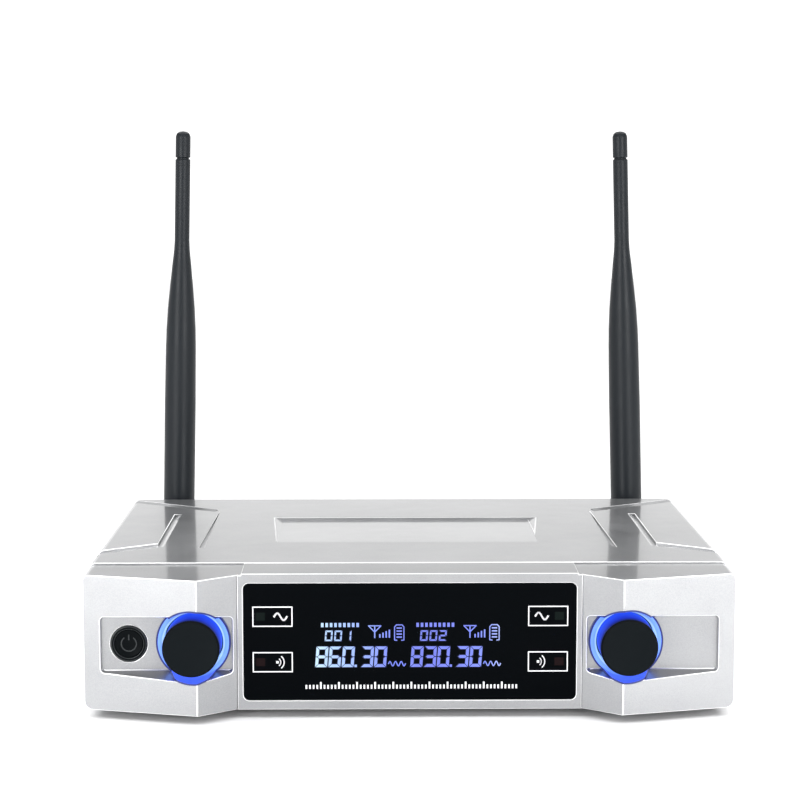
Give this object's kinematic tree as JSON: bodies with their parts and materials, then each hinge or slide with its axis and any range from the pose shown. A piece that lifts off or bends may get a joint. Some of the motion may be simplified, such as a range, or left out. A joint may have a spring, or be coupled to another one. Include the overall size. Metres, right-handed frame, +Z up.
{
  "type": "wireless microphone receiver",
  "caption": "Half-width wireless receiver with pointed front wings, lit volume knobs, black display window, engraved silver top and swivelling rear whip antennas.",
  "frame": {"origin": "on the surface it stands on, under the middle of the whole object, antennas and knobs included", "axes": "+X to the right seen from the front, +Y to the rear, +Z up; the display faces -Y"},
  "size_m": [0.216, 0.1789, 0.1962],
  "materials": {
    "silver_paint": "satin silver paint with a fine metallic grain",
    "black_metal": "matt black powder coat",
    "black_acrylic": "polished black acrylic",
    "display_glass": "display glass",
    "black_plastic": "moulded, fine texture",
    "diffuser": "white diffuser sheet",
    "circuit_board": "green solder mask",
    "lamp": "tinted epoxy",
    "ring_light": "translucent blue, lit from behind",
    "knob_black": "soft satin black",
    "button_black": "satin black",
    "zinc": "plated zinc",
    "steel": "plated steel",
    "rubber": "matt black rubber",
    "component_black": "moulded component cases",
    "tin": "tin plate",
    "ribbon": "grey ribbon insulation",
    "coax": "black coaxial sheath",
    "antenna_rubber": "satin dark grey moulded rubber"
  },
  "bodies": {
    "case": {"front_bezel": "silver_paint", "display_lens": "black_acrylic", "lcd_glass": "display_glass", "lcd_frame": "black_plastic", "backlight_panel": "diffuser", "front_board": "circuit_board", "indicator_leds": "lamp", "ring_light_left": "ring_light", "ring_light_right": "ring_light", "control_board_left": "circuit_board", "control_board_right": "circuit_board", "volume_pot_left": "zinc", "volume_pot_right": "zinc", "pot_nut_left": "steel", "pot_nut_right": "steel", "button_collar": "button_black", "power_switch": "black_plastic", "top_cover": "silver_paint", "bottom_case": "silver_paint", "rear_panel": "black_metal", "rubber_feet": "rubber", "case_screws": "steel", "main_board": "circuit_board", "board_screws": "steel", "board_components": "component_black", "rf_shield_left": "tin", "rf_shield_right": "tin", "display_ribbon": "ribbon", "antenna_bushing_left": "zinc", "antenna_bushing_right": "zinc", "antenna_nut_left": "steel", "antenna_nut_right": "steel", "antenna_coax_left": "coax", "antenna_coax_right": "coax", "xlr_shell_left": "black_metal", "xlr_shell_right": "black_metal", "xlr_pins_left": "steel", "xlr_pins_right": "steel", "xlr_screws": "steel", "mix_jack": "black_plastic", "mix_jack_nut": "zinc", "dc_inlet": "black_plastic", "dc_pin": "steel"},
    "knob_left": {"knob_left": "knob_black", "pot_shaft_left": "steel"},
    "knob_right": {"knob_right": "knob_black", "pot_shaft_right": "steel"},
    "power_button": {"power_button": "button_black", "switch_plunger": "black_plastic"},
    "swivel_left": {"antenna_knuckle_left": "antenna_rubber", "antenna_pin_left": "steel"},
    "swivel_right": {"antenna_knuckle_right": "antenna_rubber", "antenna_pin_right": "steel"},
    "mast_left": {"antenna_mast_left": "antenna_rubber", "antenna_tip_left": "antenna_rubber"},
    "mast_right": {"antenna_mast_right": "antenna_rubber", "antenna_tip_right": "antenna_rubber"}
  },
  "joints": [
    {"name": "knob_left_turn", "type": "hinge", "parent": "case", "child": "knob_left", "pos_m": [-0.0716, -0.07985, 0.0257], "axis": [0, 1, 0], "range_deg": [-150, 150]},
    {"name": "knob_right_turn", "type": "hinge", "parent": "case", "child": "knob_right", "pos_m": [0.0716, -0.07985, 0.0257], "axis": [0, 1, 0], "range_deg": [-150, 150]},
    {"name": "power_press", "type": "slide", "parent": "case", "child": "power_button", "axis": [0, 1, 0], "range_m": [0, 0.0015], "stiffness_N_per_m": 600},
    {"name": "antenna_left_swivel", "type": "hinge", "parent": "case", "child": "swivel_left", "pos_m": [-0.0921, 0.08315, 0.0255], "axis": [0, 1, 0], "range_deg": [-90, 90]},
    {"name": "antenna_left_fold", "type": "hinge", "parent": "swivel_left", "child": "mast_left", "pos_m": [-0.0921, 0.08315, 0.0255], "axis": [-0.9997, 0, 0.023], "range_deg": [0, 90]},
    {"name": "antenna_right_swivel", "type": "hinge", "parent": "case", "child": "swivel_right", "pos_m": [0.0921, 0.08315, 0.0255], "axis": [0, 1, 0], "range_deg": [-90, 90]},
    {"name": "antenna_right_fold", "type": "hinge", "parent": "swivel_right", "child": "mast_right", "pos_m": [0.0921, 0.08315, 0.0255], "axis": [-0.9996, 0, -0.0298], "range_deg": [0, 90]}
  ]
}
